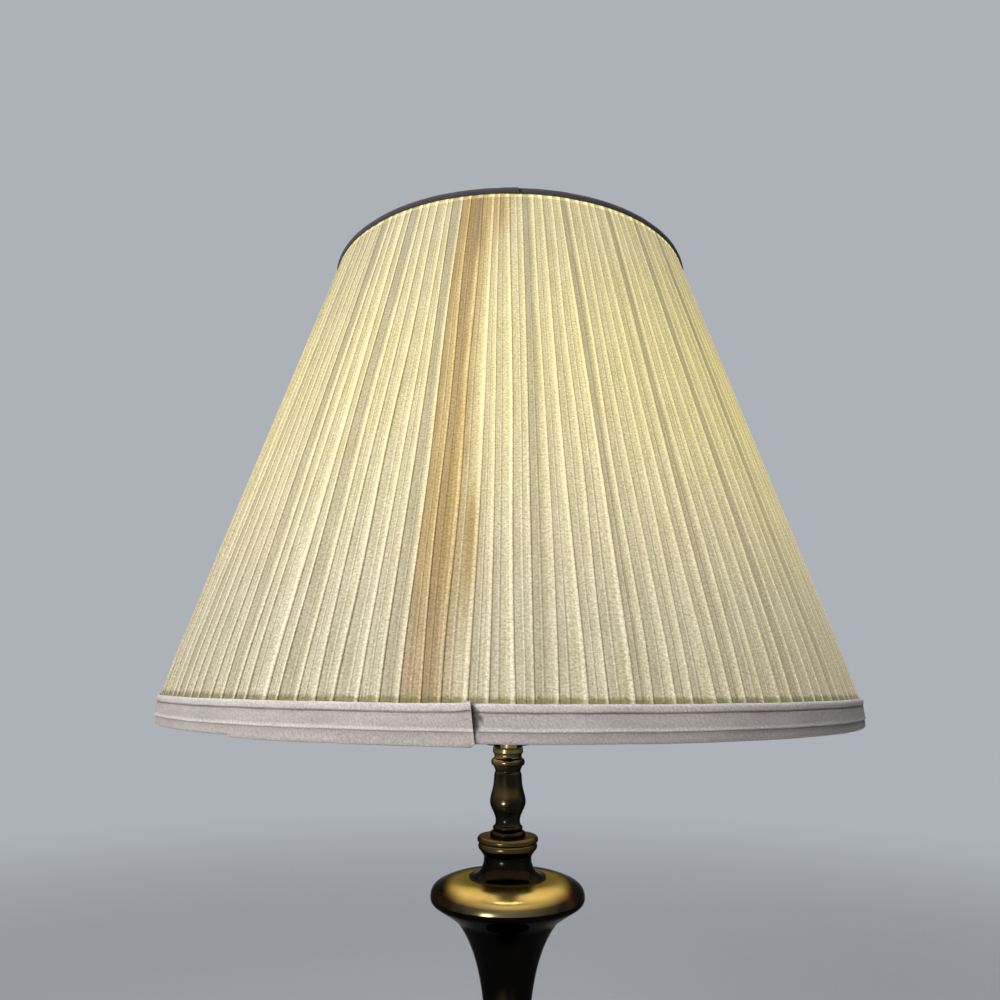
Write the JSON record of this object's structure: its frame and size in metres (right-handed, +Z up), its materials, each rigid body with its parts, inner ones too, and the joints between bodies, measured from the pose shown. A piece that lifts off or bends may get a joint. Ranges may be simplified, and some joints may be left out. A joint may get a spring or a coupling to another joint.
{
  "type": "table lamp",
  "caption": "Brass candlestick table lamp with a turned stem and drip pan on a stepped round base, carrying a pleated fabric empire shade on a harp above a turn-knob bulb socket.",
  "frame": {"origin": "on the table under the middle of the base", "axes": "+Z up along the stem; the harp stands in the YZ plane, the switch knob points along +X, the cord outlet faces +Y and the front is -Y"},
  "size_m": [0.4539, 0.454, 0.8175],
  "materials": {
    "aged_brass": "satin, dark patina with polished high spots",
    "plated_steel": "brass plated",
    "socket_brass": "polished",
    "cast_iron": "rough cast",
    "felt": "green felt",
    "bushing_plastic": "matt",
    "steel": "zinc plated",
    "card": "vulcanised fibre",
    "phenolic": "matt",
    "thread_aluminium": "bright",
    "knob_plastic": "gloss",
    "bulb_glass": "clear",
    "tungsten": "hot wire",
    "white_enamel": "white enamel",
    "styrene": "translucent white laminate",
    "pleated_fabric": "ivory pleated fabric",
    "bias_tape": "pale mauve beige tape"
  },
  "bodies": {
    "stand": {"felt_pad": "felt", "base_shell": "aged_brass", "base_weight": "cast_iron", "cord_bushing": "bushing_plastic", "base_washer": "steel", "base_lock_nut": "steel", "base_collar": "aged_brass", "knop": "aged_brass", "column_seat": "aged_brass", "trumpet_column": "aged_brass", "drip_pan_underside": "aged_brass", "drip_pan_top": "aged_brass", "neck_collar": "aged_brass", "turned_neck": "aged_brass", "lamp_pipe": "steel", "harp_saddle": "plated_steel", "socket_cap": "socket_brass", "socket_shell": "socket_brass", "socket_insulator": "card", "socket_body": "phenolic", "screw_shell": "thread_aluminium", "centre_contact": "socket_brass", "terminal_screws": "socket_brass"},
    "harp": {"harp": "plated_steel"},
    "sleeve_front": {"harp_sleeve_front": "socket_brass"},
    "sleeve_rear": {"harp_sleeve_rear": "socket_brass"},
    "stud": {"harp_stud": "socket_brass"},
    "shade": {"shade_frame": "white_enamel", "bottom_ring": "white_enamel", "shade_liner": "styrene", "shade_cover": "pleated_fabric", "bottom_trim": "bias_tape", "top_trim": "bias_tape"},
    "finial": {"finial": "aged_brass"},
    "bulb": {"bulb_cap": "thread_aluminium", "bulb_insulator": "phenolic", "bulb_glass": "bulb_glass", "bulb_mount": "bulb_glass", "bulb_leads": "tungsten", "bulb_filament": "tungsten"},
    "switch": {"switch_stem": "phenolic", "switch_knob": "knob_plastic"}
  },
  "joints": [
    {"name": "harp_lift", "type": "slide", "parent": "stand", "child": "harp", "axis": [0, 0, 1], "range_m": [0, 0.04]},
    {"name": "sleeve_front_lift", "type": "slide", "parent": "harp", "child": "sleeve_front", "axis": [0, 0, 1], "range_m": [0, 0.016]},
    {"name": "sleeve_rear_lift", "type": "slide", "parent": "harp", "child": "sleeve_rear", "axis": [0, 0, 1], "range_m": [0, 0.016]},
    {"name": "shade_swivel", "type": "hinge", "parent": "harp", "child": "stud", "pos_m": [0, 0, 0.775], "axis": [0, 0, 1], "continuous": true},
    {"name": "shade_lift", "type": "slide", "parent": "stud", "child": "shade", "axis": [0, 0, 1], "range_m": [0, 0.32]},
    {"name": "finial_lift", "type": "slide", "parent": "shade", "child": "finial", "axis": [0, 0, 1], "range_m": [0, 0.02]},
    {"name": "bulb_out", "type": "slide", "parent": "stand", "child": "bulb", "axis": [0, 0, 1], "range_m": [0, 0.03]},
    {"name": "switch_turn", "type": "hinge", "parent": "stand", "child": "switch", "pos_m": [0.018, 0, 0.491], "axis": [1, 0, 0], "continuous": true}
  ]
}
